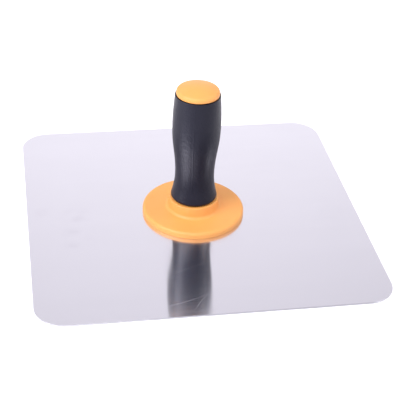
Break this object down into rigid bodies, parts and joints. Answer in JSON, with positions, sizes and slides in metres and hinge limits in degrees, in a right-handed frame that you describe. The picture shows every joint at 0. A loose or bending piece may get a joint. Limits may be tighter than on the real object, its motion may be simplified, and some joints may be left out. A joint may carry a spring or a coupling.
{
  "type": "mortar hawk",
  "caption": "Square polished aluminium hawk with rounded corners, a round flanged hand grip and a screw-off handle on a riveted stud.",
  "frame": {"origin": "centre of the plate's working face, on which the tool stands", "axes": "+Z from the working face along the handle to its end cap; +X and +Y along the plate's sides"},
  "size_m": [0.3, 0.3, 0.1292],
  "materials": {
    "plate": "polished, fine brushed grain",
    "steel": "zinc plated",
    "rivet": "plain",
    "washer": "natural nylon",
    "brass": "machined",
    "orange": "satin moulding",
    "grip": "soft touch"
  },
  "bodies": {
    "plate": {"hawk_plate": "plate", "mounting_disc": "steel", "threaded_stud": "steel", "rivet_1": "rivet", "rivet_2": "rivet", "rivet_3": "rivet", "rivet_4": "rivet"},
    "washer": {"friction_washer": "washer"},
    "handle": {"threaded_insert": "brass", "handle_core": "orange", "soft_grip": "grip", "end_cap": "orange"}
  },
  "joints": [
    {"name": "handle_lift", "type": "slide", "parent": "plate", "child": "washer", "axis": [0, 0, 1], "range_m": [0, 0.015]},
    {"name": "handle_unscrew", "type": "hinge", "parent": "washer", "child": "handle", "pos_m": [0, 0, 0], "axis": [0, 0, 1], "range_deg": [0, 3600]}
  ],
  "couplings": [
    {"joint": "handle_lift", "follows": "handle_unscrew", "m_per_rad": 0.00023873}
  ]
}
